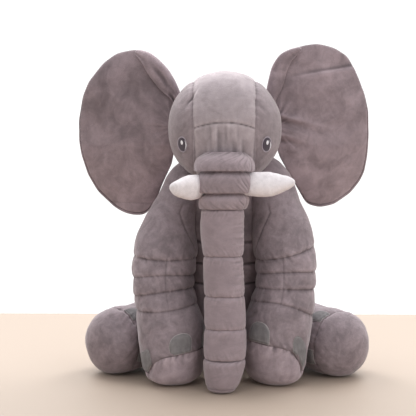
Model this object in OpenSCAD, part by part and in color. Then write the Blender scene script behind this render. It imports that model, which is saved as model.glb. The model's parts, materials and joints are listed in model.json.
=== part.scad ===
// Stuffed elephant, seated, with a quilted hanging trunk.
// X to the viewer's right, the face looks along -Y, Z up, resting on Z = 0.

/* [Body] */
// Half width of the stuffed torso
torso_r = 99; // [90:1:106]
// Half height of the torso before its base is flattened
torso_h = 205; // [195:1:215]
// Forward lean of the torso
torso_lean = 8; // [4:0.5:11]

/* [Head] */
// Radius of the head
head_r = 101; // [96:1:104]
// Height of the head's centre
head_z = 450; // [444:1:460]
// Half width of the forehead panel
forehead_w = 53; // [40:1:60]

/* [Ears] */
// Half width of an ear
ear_w = 99; // [85:1:104]
// Half height of an ear
ear_h = 159; // [140:1:162]
// Thickness of an ear
ear_t = 21.5; // [16:0.5:24]
// How far the ears sweep back
ear_back = 17; // [8:1:24]

/* [Trunk] */
// Radius of the trunk's channels
trunk_r = 33; // [28:0.5:34]
// Forward lean of the hanging trunk
trunk_lean = 5.9; // [3:0.1:8]

/* [Legs] */
// Radius of a front foot
front_r = 58; // [52:1:58]
// Radius of a hind foot
hind_r = 60; // [54:1:60]
// Height of the front sole's seam
sole_h = 46; // [36:1:52]

/* [Cloth] */
// Thickness of the plush cloth with its pile
cloth = 2; // [1.5:0.25:3]

/* [Hidden] */
$fn = 48;
gap = 0.3;
play = 1.1;
ball_r = 45;
hip_r = 52;
knuckle = 22;
shift_y = -19.6;
head_c = [0, -10, head_z];
torso_c = [0, 58, 196];
shoulder = [-88, -8, 300];
foot = [-94, -85, 0];
hip = [-105, 112, 58];
hind_foot = [-235, -50, 59];
ball_end = 48;
hind_seam = ball_end + 4;
trunk_top = [0, -103, 311];
seams = [0, 80.4, 148.3, 203.5, 255.3, 311.3];
widths = [0.5, -0.8, 0, 0.8, -1.5];
ear_axis = [-103, 27, 446];
tail_root = [0, 175, 150];
big = 900;

plush = [0.54, 0.49, 0.5];
plush_light = [0.62, 0.56, 0.57];
nail_grey = [0.42, 0.44, 0.43];
white = [0.94, 0.93, 0.94];
fibre = [0.9, 0.9, 0.88];

// Everything is placed so that the whole toy's box is centred over the origin.
module centred() {
  translate([0, shift_y, 0]) children();
}

// Left pieces as drawn, right pieces mirrored.
module side(s) {
  if (s < 0) children();
  else mirror([1, 0, 0]) children();
}

module below(z) {
  translate([-big, -big, z - 2 * big]) cube(2 * big);
}

// Points a frame's own -Z along the line from a to b, its origin at a.
module along(a, b) {
  d = b - a;
  tilt = acos(-d[2] / norm(d));
  turn = atan2(d[1], d[0]);
  translate(a) rotate([0, 0, turn]) rotate([0, -tilt, 0]) children();
}

// ---- Torso ----
function torso_outline(e) = [
  for (i = [0 : 20]) let (a = -90 + 9 * i, h = torso_h - e, r = torso_r - e)
    [max(0, r * pow(max(0, cos(a)), 0.8) * (1 - 0.13 * sin(a))), h * sin(a)]
];

// A run of the torso's rounded sections.
module torso_run(e, lo, hi) {
  pts = torso_outline(e);
  hull() rotate_extrude()
    polygon(concat([[0, pts[lo][1]]], [for (i = [lo : hi]) pts[i]], [[0, pts[hi][1]]]));
}

module torso_form(e) {
  difference() {
    translate(torso_c) rotate([torso_lean, 0, 0]) {
      torso_run(e, 0, 8);
      torso_run(e, 7, 14);
      torso_run(e, 13, 20);
    }
    below(e);
    hull() translate(head_c) sphere(r = head_r + play + e);
    for (s = [-1, 1]) side(s) {
      for (a = [0, 16, 33]) hull()
        translate(shoulder) rotate([-a, 0, 0]) translate(-shoulder)
          front_leg_form(-play - e, false);
      hull() hind_leg_form(-play - e, false);
    }
  }
}

module torso_skin(front) {
  difference() {
    torso_form(0);
    torso_form(cloth);
    translate([-big, front ? 58 : 58 + gap - 2 * big, -big]) cube(2 * big);
  }
}

module belly_panel() color(plush) centred() torso_skin(true);
module back_panel() color(plush) centred() torso_skin(false);
module torso_filling() color(fibre) centred() torso_form(cloth + gap);

// ---- Head ----
module head_shell() {
  translate(head_c) difference() {
    sphere(r = head_r);
    sphere(r = head_r - cloth);
  }
}

module forehead_panel() color(plush) centred() intersection() {
  head_shell();
  translate([-forehead_w, -big, 0]) cube([2 * forehead_w, 2 * big, big]);
}

module cheek(s) color(plush) centred() side(s) difference() {
  head_shell();
  translate([-forehead_w - gap, -big, 0]) cube([big, 2 * big, big]);
}
module cheek_left_panel() cheek(-1);
module cheek_right_panel() cheek(1);

module head_filling() color(fibre) centred()
  translate(head_c) sphere(r = head_r - cloth - gap);

// A stuffed channel running round the root of the trunk.
module roll_form(y, z0, z1, r, g) {
  h = (z1 - z0) / 2;
  translate([0, y, (z0 + z1) / 2]) rotate_extrude()
    polygon(concat(
      [[0, -h - g]],
      [for (i = [0 : 8]) let (a = -90 + 22.5 * i)
        [r - h * 0.9 + (h * 0.9 + g) * cos(a), (h + g) * sin(a)]],
      [[0, h + g]]));
}

// The brow's channel is a stuffed ring round a flat core.
module brow_form(g) {
  translate([0, -86, 392]) {
    for (i = [0 : 11]) hull()
      for (a = [30 * i, 30 * i + 30]) rotate([0, 0, a])
        translate([35, 0, 0]) sphere(r = 15.2 + g, $fn = 24);
    cylinder(r = 35, h = 26, center = true);
  }
}
module upper_form(g) roll_form(-96, 339.3, 376, 48, g);
module lower_form(g) roll_form(-101, 313, 339, 42, g);

module brow_roll() color(plush_light) centred() difference() {
  brow_form(0);
  translate(head_c) sphere(r = head_r + 2 * gap);
}

module muzzle_roll_upper() color(plush_light) centred() difference() {
  upper_form(0);
  translate(head_c) sphere(r = head_r + gap);
}

module muzzle_roll_lower() color(plush_light) centred() difference() {
  lower_form(0);
  translate(trunk_top) sphere(r = knuckle + play);
}

// A stuffed pointed tusk sewn into the side of the muzzle.
module tusk(a, b, r) color(white) centred() difference() {
  along(a, b) rotate([180, 0, 0]) {
    cylinder(r1 = r, r2 = 4, h = norm(b - a) - 3);
    translate([0, 0, norm(b - a) - 4]) sphere(r = 4);
  }
  upper_form(gap);
  lower_form(gap);
  translate(head_c) sphere(r = head_r + gap);
}
module tusk_left() tusk([-36, -95, 352], [-92, -148, 350], 18);
module tusk_right() tusk([36, -95, 352], [117, -130, 357], 18);

// Satin-stitched eye, a raised oval of thread.
module eye(s) color([0.27, 0.22, 0.26]) centred() side(s) intersection() {
  translate(head_c) difference() {
    sphere(r = head_r + gap + 1.2);
    sphere(r = head_r + gap);
  }
  translate(head_c) rotate([0, 0, 41]) rotate([16.3, 0, 0]) hull()
    for (z = [-5, 5]) translate([0, 0, z]) rotate([90, 0, 0])
      cylinder(r = 8, h = 130, $fn = 32);
}
module eye_left() eye(-1);
module eye_right() eye(1);

// ---- Ears ----
function ear_outline(e) = [
  for (i = [0 : 47]) let (a = 7.5 * i)
    [-79 + (ear_w - e) * cos(a), (ear_h - e) * sin(a)]
];

module ear_plate(y0, y1, e) {
  difference() {
    translate(ear_axis) rotate([0, 0, -ear_back]) translate([0, y1, 0])
      rotate([90, 0, 0]) linear_extrude(y1 - y0) difference() {
        polygon(ear_outline(e));
        translate([2 - e, -52]) rotate(-26) translate([-20, -300]) square([300, 300]);
      }
    translate(head_c) sphere(r = head_r + 5 + e);
  }
}

panel_t = 2.5;
module ear_front(s) color(plush) centred() side(s)
  ear_plate(-ear_t / 2, -ear_t / 2 + panel_t, 0);
module ear_back_panel(s) color(plush) centred() side(s)
  ear_plate(ear_t / 2 - panel_t, ear_t / 2, 0);
module ear_fill(s) color(fibre) centred() side(s)
  ear_plate(-ear_t / 2 + panel_t + gap, ear_t / 2 - panel_t - gap, 5);
module ear_left_front_panel() ear_front(-1);
module ear_left_wadding() ear_fill(-1);
module ear_left_back_panel() ear_back_panel(-1);
module ear_right_front_panel() ear_front(1);
module ear_right_wadding() ear_fill(1);
module ear_right_back_panel() ear_back_panel(1);

// ---- Trunk ----
// Each channel has a round top that turns in the hollow of the one above.
function dome(r) = [for (i = [0 : 8]) let (a = 13.75 * i) [r * sin(a), r * cos(a)]];
function hollow(r, s, d) = [
  for (i = [0 : 7]) let (a = 90 * i / 7 * (1 - asin(d / r) / 90) + asin(d / r))
    [r * cos(a), s + r * sin(a)]
];

function channel(k, e) = let (
  len = seams[k + 1] - seams[k],
  r = trunk_r + widths[k] - e,
  drop = k == 0 ? 25 : 10
) concat(
  dome(knuckle - e),
  [[r - 4, -drop - e], [r, -drop - 8 - e], [r, -len + 16 + e], [r - 5, -len + 2 + e]],
  hollow(knuckle + play + e, -len, 2 + e)
);

function tip(e) = let (r = trunk_r + widths[4] - e, len = seams[5] - seams[4]) concat(
  dome(knuckle - e),
  [[r - 4, -10 - e], [r - 1, -19], [r - 9, -len + 12], [r - 14, -len + 3 + e],
   [r - 20, -len + e], [0, -len + e]]
);

module channel_form(k, e) {
  translate(trunk_top) rotate([-trunk_lean, 0, 0]) translate([0, 0, -seams[k]])
    rotate_extrude() polygon(k == 4 ? tip(e) : channel(k, e));
}

module channel_skin(k) color(plush_light) centred() difference() {
  channel_form(k, 0);
  channel_form(k, cloth);
}
module channel_fill(k) color(fibre) centred() channel_form(k, cloth + gap);

module trunk_1_skin() channel_skin(0);
module trunk_1_filling() channel_fill(0);
module trunk_2_skin() channel_skin(1);
module trunk_2_filling() channel_fill(1);
module trunk_3_skin() channel_skin(2);
module trunk_3_filling() channel_fill(2);
module trunk_4_skin() channel_skin(3);
module trunk_4_filling() channel_fill(3);
module trunk_5_skin() channel_skin(4);
module trunk_5_filling() channel_fill(4);

// ---- Legs ----
// A round end, a shaft that swells towards the foot, and a rounded rim.
function leg_outline(r0, r1, len, rim, e) = concat(
  [for (i = [0 : 8]) let (a = 11.25 * i) [(r0 - e) * sin(a), (r0 - e) * cos(a)]],
  [for (i = [1 : 5]) let (t = i / 5 * (len - rim) / len)
    [r0 + (r1 - r0) * sin(90 * t) - e, -t * len]],
  [for (i = [1 : 4]) let (a = 22.5 * i)
    [r1 - rim + (rim - e) * cos(a), -len + rim - (rim - e) * sin(a)]],
  [[0, -len + e]]
);

module front_leg_form(e, flat = true) {
  difference() {
    along(shoulder, foot) rotate_extrude()
      polygon(leg_outline(ball_r, front_r, 320, 26, e));
    if (flat) below(e);
  }
}

module hind_leg_form(e, flat = true) {
  difference() {
    along(hip, hind_foot) rotate_extrude()
      polygon(leg_outline(hip_r, hind_r, norm(hind_foot - hip), ball_end, e));
    if (flat) below(e);
  }
}

// The sole's seam dips towards the outer side of the foot.
module under_seam(z) {
  translate([foot[0], foot[1], z]) rotate([-4, -7, 0])
    translate([-200, -200, -400]) cube(400);
}

module front_skin(s) color(plush) centred() side(s) difference() {
  front_leg_form(0);
  front_leg_form(cloth);
  under_seam(sole_h + gap);
}
module front_sole(s) color(plush_light) centred() side(s) intersection() {
  difference() {
    front_leg_form(0);
    front_leg_form(cloth);
  }
  under_seam(sole_h);
}
module front_fill(s) color(fibre) centred() side(s) front_leg_form(cloth + gap);

// A thin felt nail, arched on top and straight below, laid on the foot.
module front_nail(s, turn) color(nail_grey) centred() side(s) intersection() {
  difference() {
    front_leg_form(-gap - 1.2);
    front_leg_form(-gap);
  }
  translate([foot[0], foot[1] + 16, sole_h + 19]) rotate([0, 0, turn]) hull() {
    translate([0, 0, 3]) rotate([90, 0, 0]) cylinder(r = 17, h = 120, $fn = 32);
    translate([-18, -120, -15]) cube([36, 120, 2]);
  }
}

// A nail on the side of a hind foot, turned round the leg: 90 is on top, more is inwards.
module hind_nail(s, turn) color(nail_grey) centred() side(s) intersection() {
  difference() {
    hind_leg_form(-gap - 1.2);
    hind_leg_form(-gap);
  }
  along(hip, hind_foot) rotate([0, 0, turn])
    translate([0, 0, -norm(hind_foot - hip) + hind_seam + 18]) hull() {
      translate([0, 0, 2]) rotate([90, 0, 0]) cylinder(r = 16, h = 120, $fn = 32);
      translate([-17, -120, -15]) cube([34, 120, 2]);
    }
}

module past_seam() {
  along(hip, hind_foot)
    translate([-200, -200, -norm(hind_foot - hip) + hind_seam - 400]) cube([400, 400, 400]);
}
module hind_skin(s) color(plush) centred() side(s) difference() {
  hind_leg_form(0);
  hind_leg_form(cloth);
  past_seam();
}
module hind_sole(s) color(plush_light) centred() side(s) intersection() {
  difference() {
    hind_leg_form(0);
    hind_leg_form(cloth);
  }
  along(hip, hind_foot)
    translate([-200, -200, -norm(hind_foot - hip) + hind_seam - 400 - gap]) cube([400, 400, 400]);
}
module hind_fill(s) color(fibre) centred() side(s) hind_leg_form(cloth + gap);

module front_leg_left_skin() front_skin(-1);
module front_leg_left_filling() front_fill(-1);
module front_foot_left_sole() front_sole(-1);
module front_left_toenail_1() front_nail(-1, -57);
module front_left_toenail_2() front_nail(-1, 15);
module front_left_toenail_3() front_nail(-1, 87);
module front_leg_right_skin() front_skin(1);
module front_leg_right_filling() front_fill(1);
module front_foot_right_sole() front_sole(1);
module front_right_toenail_1() front_nail(1, -38);
module front_right_toenail_2() front_nail(1, 32);
module front_right_toenail_3() front_nail(1, 102);
module hind_leg_left_skin() hind_skin(-1);
module hind_leg_left_filling() hind_fill(-1);
module hind_foot_left_sole() hind_sole(-1);
module hind_left_toenail_1() hind_nail(-1, 120);
module hind_left_toenail_2() hind_nail(-1, 198);
module hind_left_toenail_3() hind_nail(-1, 35);
module hind_leg_right_skin() hind_skin(1);
module hind_leg_right_filling() hind_fill(1);
module hind_foot_right_sole() hind_sole(1);
module hind_right_toenail_1() hind_nail(1, 120);
module hind_right_toenail_2() hind_nail(1, 198);
module hind_right_toenail_3() hind_nail(1, 35);

// ---- Tail ----
module tail_tube() color(plush) centred() along(tail_root, tail_root + [0, 12, -84])
  rotate([180, 0, 0]) {
    sphere(r = 7);
    cylinder(r1 = 7, r2 = 5.5, h = 78);
  }
module tail_tuft() color(plush_light) centred() along(tail_root, tail_root + [0, 12, -84])
  translate([0, 0, -78.4]) rotate([180, 0, 0]) rotate_extrude()
    polygon([[0, 0], [6, 0], [11, 10], [11.5, 22], [8, 34], [0, 40]]);

belly_panel();
back_panel();
torso_filling();
forehead_panel();
cheek_left_panel();
cheek_right_panel();
head_filling();
brow_roll();
muzzle_roll_upper();
muzzle_roll_lower();
tusk_left();
tusk_right();
eye_left();
eye_right();
ear_left_front_panel();
ear_left_wadding();
ear_left_back_panel();
ear_right_front_panel();
ear_right_wadding();
ear_right_back_panel();
trunk_1_skin();
trunk_1_filling();
trunk_2_skin();
trunk_2_filling();
trunk_3_skin();
trunk_3_filling();
trunk_4_skin();
trunk_4_filling();
trunk_5_skin();
trunk_5_filling();
front_leg_left_skin();
front_leg_left_filling();
front_foot_left_sole();
front_left_toenail_1();
front_left_toenail_2();
front_left_toenail_3();
front_leg_right_skin();
front_leg_right_filling();
front_foot_right_sole();
front_right_toenail_1();
front_right_toenail_2();
front_right_toenail_3();
hind_leg_left_skin();
hind_leg_left_filling();
hind_foot_left_sole();
hind_left_toenail_1();
hind_left_toenail_2();
hind_left_toenail_3();
hind_leg_right_skin();
hind_leg_right_filling();
hind_foot_right_sole();
hind_right_toenail_1();
hind_right_toenail_2();
hind_right_toenail_3();
tail_tube();
tail_tuft();
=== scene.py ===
import json
import math

import bpy
import numpy as np
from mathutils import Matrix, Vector


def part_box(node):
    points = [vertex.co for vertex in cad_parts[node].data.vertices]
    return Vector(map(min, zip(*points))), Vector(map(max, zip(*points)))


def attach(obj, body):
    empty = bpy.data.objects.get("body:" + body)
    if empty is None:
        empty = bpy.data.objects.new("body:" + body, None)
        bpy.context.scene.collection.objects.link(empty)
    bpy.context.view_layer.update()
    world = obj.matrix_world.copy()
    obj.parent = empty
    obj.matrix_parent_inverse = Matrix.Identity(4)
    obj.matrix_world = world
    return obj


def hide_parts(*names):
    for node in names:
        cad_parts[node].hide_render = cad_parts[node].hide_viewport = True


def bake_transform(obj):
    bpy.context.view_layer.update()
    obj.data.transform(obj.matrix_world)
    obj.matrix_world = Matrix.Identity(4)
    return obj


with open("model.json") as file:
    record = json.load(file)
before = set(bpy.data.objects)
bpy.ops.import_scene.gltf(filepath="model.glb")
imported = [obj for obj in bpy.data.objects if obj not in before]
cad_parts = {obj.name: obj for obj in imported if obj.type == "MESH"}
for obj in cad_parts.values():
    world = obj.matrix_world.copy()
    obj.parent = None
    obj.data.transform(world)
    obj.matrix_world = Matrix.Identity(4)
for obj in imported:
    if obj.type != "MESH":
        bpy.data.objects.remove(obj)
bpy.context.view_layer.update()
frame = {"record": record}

MM = 1000  # shapes are worked out in millimetres, and mesh() turns them into metres
FINE = 1.0  # share of the points that a mesh gets
JOINT = {j["name"]: np.array(j["pos_m"]) * MM for j in frame["record"]["behaviour"]["joints"]}
SIDES = {"left": -1.0, "right": 1.0}
CLOTH = 2.3  # a cloth's thickness and its clearance, over a CAD filling
FORWARD = -np.pi / 2  # the way the face looks, as an angle round an upright axis


def span(node):
    """Middle and size of a CAD node, in millimetres."""
    lo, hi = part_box(node)
    return np.array((lo + hi) / 2) * MM, np.array(hi - lo) * MM


# -------------------- shape tools
def xyz(*parts):
    """Points from their coordinates, which may have different shapes."""
    return np.stack(np.broadcast_arrays(*parts), -1)


def curve(x, xs, ys):
    """A smooth line through given points."""
    xs, ys = np.asarray(xs, float), np.asarray(ys, float)
    if xs[0] > xs[-1]:
        xs, ys = xs[::-1], ys[::-1]
    x = np.clip(x, xs[0], xs[-1])
    m = np.gradient(ys, xs)
    i = np.clip(np.searchsorted(xs, x, side="right") - 1, 0, len(xs) - 2)
    h = xs[i + 1] - xs[i]
    t = (x - xs[i]) / h
    return (
        (2 * t**3 - 3 * t**2 + 1) * ys[i]
        + (t**3 - 2 * t**2 + t) * h * m[i]
        + (3 * t**2 - 2 * t**3) * ys[i + 1]
        + (t**3 - t**2) * h * m[i + 1]
    )


def apart(a, b):
    """Angle between two directions, from 0 to pi."""
    return np.abs(np.arctan2(np.sin(a - b), np.cos(a - b)))


def noise(p, seed=0):
    """Smooth noise from -1 to 1 at points p, one unit to a cell. Each corner's value is a hash."""
    p = np.asarray(p, float)
    i = np.floor(p).astype(np.int64)
    f = p - i
    f = f * f * f * (f * (f * 6 - 15) + 10)
    out = 0.0
    for c in range(8):
        o = np.array([c & 1, c >> 1 & 1, c >> 2 & 1])
        k = i + o
        h = k[..., 0] * 374761393 + k[..., 1] * 668265263 + k[..., 2] * 1274126177
        h = (h + seed * 144269504) & 0xFFFFFFFF
        h = ((h ^ (h >> 13)) * 1103515245) & 0xFFFFFFFF
        h = (h ^ (h >> 16)) & 0xFFFF
        w = np.prod(np.where(o, f, 1 - f), axis=-1)
        out = out + w * (h / 32767.5 - 1)
    return out


def lumps(p, size, seed):
    """Noise in lumps of this size, with half as much at half the size."""
    return (noise(p / size, seed) + 0.5 * noise(p / size * 2, seed + 7)) / 1.5


def crease(p, size, seed):
    """Thin valleys between rounded ridges, 0 on a ridge and -1 in a valley."""
    n = noise(p / size, seed)
    return -np.clip(1 - np.abs(n) * 2.6, 0, 1) ** 1.5


def gathers(arc, dist, reach, width, seed, size=1.0):
    """Short wrinkles that run away from a seam: arc along it, dist from it."""
    q = xyz(arc / width + 0.25 * dist / width, dist / (reach * 2.5), 0 * arc + seed)
    n = noise(q, seed) + 0.5 * noise(q * 2.1, seed + 3)
    return size * n * np.exp(-np.abs(dist) / reach)


def hollows(g, wrap, mid):
    """How hollow (+) or ridged (-) the surface is at each point, over a few millimetres."""
    across = np.roll(g, -1, 1) - np.roll(g, 1, 1) if wrap else np.gradient(g, axis=1)
    n = np.cross(np.gradient(g, axis=0), across)
    n /= np.linalg.norm(n, axis=-1, keepdims=True) + 1e-9
    if ((g - mid) * n).sum() < 0:
        n = -n
    total = np.zeros(g.shape[:2])
    for reach, share in ((2.0, 0.9), (5.0, 0.45)):
        for axis, mode in ((0, "clip"), (1, "wrap" if wrap else "clip")):
            step = np.median(np.linalg.norm(np.diff(g, axis=axis), axis=-1)) + 1e-6
            size = g.shape[axis]
            k = int(np.clip(round(reach / step), 1, max(1, size // 6)))
            i = np.arange(size)
            mean = (g.take(i - k, axis, mode=mode) + g.take(i + k, axis, mode=mode)) / 2
            # near an open edge there is nothing to compare with
            ok = ((i >= k) & (i < size - k)) | (mode == "wrap")
            total += share * ((mean - g) * n).sum(-1) * (ok[:, None] if axis == 0 else ok)
    return np.clip(total, -2, 3)


def mesh(name, grid, wrap=True, out=None, shade=0.0):
    """A smooth mesh from rows of points; a row whose points all meet is one point.

    wrap joins each row's ends. Faces look away from out. The fold attribute, which the materials
    turn into painted shade in hollows and a painted highlight on ridges, is how hollow the surface
    is, plus shade: more painted shade where shade is above 0, painted light where it is below.
    """
    grid = np.asarray(grid, float)
    centre = np.array(out) if out is not None else grid.mean((0, 1))
    fold = hollows(grid, wrap, centre) + shade
    folds = []
    rows, cols = grid.shape[:2]
    verts, index = [], []
    for r in range(rows):
        row = grid[r]
        if np.ptp(row, axis=0).max() < 1e-6:
            index.append([len(verts)] * cols)
            verts.append(row[0])
            folds.append(0.0)
        else:
            index.append(list(range(len(verts), len(verts) + cols)))
            verts.extend(row)
            folds.extend(fold[r])
    faces = []
    for r in range(rows - 1):
        a, b = index[r], index[r + 1]
        for c in range(cols if wrap else cols - 1):
            d = (c + 1) % cols
            f = []
            for v in (a[c], a[d], b[d], b[c]):
                if v not in f:
                    f.append(v)
            if len(f) > 2:
                faces.append(f)
    verts = np.array(verts)
    a, b, c = (verts[[f[k] for f in faces]] for k in range(3))
    if ((a - centre) * np.cross(b - a, c - a)).sum() < 0:
        faces = [f[::-1] for f in faces]
    me = bpy.data.meshes.new(name)
    me.from_pydata((verts / MM).tolist(), [], faces)
    me.polygons.foreach_set("use_smooth", [True] * len(me.polygons))
    me.attributes.new("fold", "FLOAT", "POINT").data.foreach_set("value", folds)
    me.update()
    ob = bpy.data.objects.new(name, me)
    bpy.context.scene.collection.objects.link(ob)
    return ob


def count(n):
    return max(8, int(n * FINE))


def around(n):
    """Angles once round."""
    return np.linspace(0, 2 * np.pi, count(n), endpoint=False)


# -------------------- finishes
def node(nt, kind, **sockets):
    """A shader node with its settings; an underscore in a socket's name stands for a space."""
    n = nt.nodes.new(kind)
    for k, v in sockets.items():
        if hasattr(n, k):
            setattr(n, k, v)
        else:
            n.inputs[k.replace("_", " ")].default_value = v
    return n


def plush(name, shade, patch=0.16, sheen=0.5, nap=26.0, pile=0.35, stretch=(1, 1, 1), seam=1.0):
    """Short velour: the pile lies in patches that look lighter or darker, over a fine grain.

    patch is how much the patches differ, nap how small they are, pile how rough the surface is,
    stretch the pattern's scale along each axis, and seam how strong the painted shade in hollows
    and the painted highlight on ridges are.
    """
    mat = bpy.data.materials.new(name)
    mat.use_nodes = True
    nt = mat.node_tree
    link = nt.links.new
    p = nt.nodes["Principled BSDF"]
    where = node(nt, "ShaderNodeTexCoord")
    place = node(nt, "ShaderNodeMapping", Scale=stretch)
    link(where.outputs["Object"], place.inputs["Vector"])

    big = node(nt, "ShaderNodeTexNoise", Scale=nap, Detail=3.0, Roughness=0.55, Distortion=1.2)
    mid = node(nt, "ShaderNodeTexNoise", Scale=nap * 4.2, Detail=4.0, Roughness=0.6, Distortion=0.8)
    grain = node(nt, "ShaderNodeTexNoise", Scale=1400.0, Detail=2.0, Roughness=0.6)
    for n in (big, mid, grain):
        link(place.outputs["Vector"], n.inputs["Vector"])
    mix = node(nt, "ShaderNodeMath", operation="MULTIPLY_ADD")
    mix.inputs[1].default_value = 0.55
    link(mid.outputs["Fac"], mix.inputs[0])
    link(big.outputs["Fac"], mix.inputs[2])
    ramp = node(nt, "ShaderNodeValToRGB")
    link(mix.outputs[0], ramp.inputs["Fac"])
    c = np.array(shade)
    ramp.color_ramp.elements[0].position = 0.56
    ramp.color_ramp.elements[1].position = 1.0
    ramp.color_ramp.elements[0].color = (*(c * (1 - patch)), 1)
    ramp.color_ramp.elements[1].color = (*np.minimum(c * (1 + patch), 1), 1)
    speck = node(nt, "ShaderNodeMix", data_type="RGBA", blend_type="MULTIPLY")
    speck.inputs[0].default_value = 1.0
    tone = node(nt, "ShaderNodeMapRange", From_Min=0.3, From_Max=0.7, To_Min=0.86, To_Max=1.12)
    link(grain.outputs["Fac"], tone.inputs["Value"])
    link(ramp.outputs["Color"], speck.inputs[6])
    link(tone.outputs["Result"], speck.inputs[7])
    # painted shade and highlight: the colour is made darker where the surface is hollow, as in a seam,
    # and lighter on a ridge
    fold = node(nt, "ShaderNodeAttribute", attribute_name="fold")
    painted_fold_shade = node(nt, "ShaderNodeMapRange", From_Min=-0.9, From_Max=1.6,
                 To_Min=1.0 + 0.34 * seam, To_Max=1.0 - 0.5 * seam)
    link(fold.outputs["Fac"], painted_fold_shade.inputs["Value"])
    shade_in = node(nt, "ShaderNodeMix", data_type="RGBA", blend_type="MULTIPLY")
    shade_in.inputs[0].default_value = 1.0
    link(speck.outputs[2], shade_in.inputs[6])
    link(painted_fold_shade.outputs["Result"], shade_in.inputs[7])
    link(shade_in.outputs[2], p.inputs["Base Color"])

    p.inputs["Roughness"].default_value = 0.92
    p.inputs["Specular IOR Level"].default_value = 0.12
    p.inputs["Sheen Weight"].default_value = sheen
    p.inputs["Sheen Roughness"].default_value = 0.42
    p.inputs["Sheen Tint"].default_value = (0.95, 0.9, 0.92, 1)
    soft = node(nt, "ShaderNodeTexNoise", Scale=420.0, Detail=3.0, Roughness=0.65)
    link(place.outputs["Vector"], soft.inputs["Vector"])
    tufts = node(nt, "ShaderNodeBump", Strength=pile, Distance=0.0012)
    link(soft.outputs["Fac"], tufts.inputs["Height"])
    hairs = node(nt, "ShaderNodeBump", Strength=pile, Distance=0.0005)
    link(grain.outputs["Fac"], hairs.inputs["Height"])
    link(tufts.outputs["Normal"], hairs.inputs["Normal"])
    link(hairs.outputs["Normal"], p.inputs["Normal"])
    return mat


def thread(name, shade):
    """Rows of satin stitches."""
    mat = plush(name, shade, patch=0.12, sheen=0.2, nap=160.0, pile=0.2)
    nt = mat.node_tree
    p = nt.nodes["Principled BSDF"]
    p.inputs["Roughness"].default_value = 0.5
    p.inputs["Specular IOR Level"].default_value = 0.4
    wave = node(nt, "ShaderNodeTexWave", Scale=420.0, Distortion=1.5, Detail=1.0)
    bump = node(nt, "ShaderNodeBump", Strength=0.5, Distance=0.0004)
    where = [n for n in nt.nodes if n.type == "TEX_COORD"][0]
    nt.links.new(where.outputs["Object"], wave.inputs["Vector"])
    nt.links.new(wave.outputs["Fac"], bump.inputs["Height"])
    nt.links.new(bump.outputs["Normal"], p.inputs["Normal"])
    return mat


def felt(name, shade):
    """Smoother than plush, with hardly any patches."""
    mat = plush(name, shade, patch=0.1, sheen=0.15, nap=60.0, pile=0.2)
    mat.node_tree.nodes["Principled BSDF"].inputs["Roughness"].default_value = 0.85
    return mat


MAT = {
    "body": plush("plush_body", (0.246, 0.202, 0.22), patch=0.24, seam=0.72),
    # the belly's cloth, with stronger painted shade in its hollows and in the gap between the legs
    "belly_shaded": plush("plush_belly", (0.3, 0.24, 0.258), seam=1.3),
    "ear": plush("plush_ear", (0.232, 0.185, 0.202), patch=0.26, nap=15.0),
    # crown and cheeks are one cloth: painted light makes the crown lighter, as it faces up and forwards,
    # and painted shade makes the cheeks darker, as they face sideways
    "crown": plush("plush_crown", (0.34, 0.293, 0.311), patch=0.14),
    "cheek": plush("plush_cheek", (0.232, 0.194, 0.208), patch=0.18),
    "muzzle": plush("plush_muzzle", (0.26, 0.212, 0.23), patch=0.12),
    "trunk": plush("plush_trunk", (0.29, 0.236, 0.257), patch=0.09, nap=22.0, stretch=(1, 1, 2.2),
                   seam=0.75),
    # the body's cloth made lighter on the front soles: painted light, for the light they catch from the
    # floor; the tail's tuft strands use it too
    "sole": plush("plush_sole", (0.34, 0.278, 0.304), patch=0.18),
    "white": plush("plush_white", (0.74, 0.7, 0.725), patch=0.03, sheen=0.1, pile=0.2, seam=0.5),
    "nail": felt("felt_nail", (0.186, 0.178, 0.184)),
    "iris": thread("thread_iris", (0.045, 0.033, 0.05)),
    "glint": thread("thread_white", (0.85, 0.85, 0.9)),
    "ring": thread("thread_lilac", (0.33, 0.29, 0.34)),
    "stitch": thread("thread_grey", (0.3, 0.28, 0.28)),
}


def dress(ob, mat, body=None, bend=None, stands=()):
    """Finish, slot, what it moves with and which CAD nodes it stands for.

    bend is (body, body, start, end) for cloth that crosses a joint, with both points in
    millimetres; its bodies and points are not used, and such cloth is attached to no body.
    """
    ob.data.materials.append(MAT[mat])
    if bend:
        a, b, start, end = bend
        tuple(np.array(start) / MM)
        tuple(np.array(end) / MM)
        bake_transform(ob)
    else:
        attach(ob, body)
    if stands:
        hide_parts(*stands)


# -------------------- torso
TORSO, TORSO_SIZE = span("torso_filling")
TORSO_R = TORSO_SIZE[0] / 2 + CLOTH
TORSO_TOP = 384.0
TORSO_MID, TORSO_HALF = 194, 206  # height where it is widest, and from there to where it would close
TORSO_LEAN = math.tan(math.radians(8))  # it leans forwards as it goes up
WAIST_SEAMS = (244, 205, 168)  # heights of the seams across the belly


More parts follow.
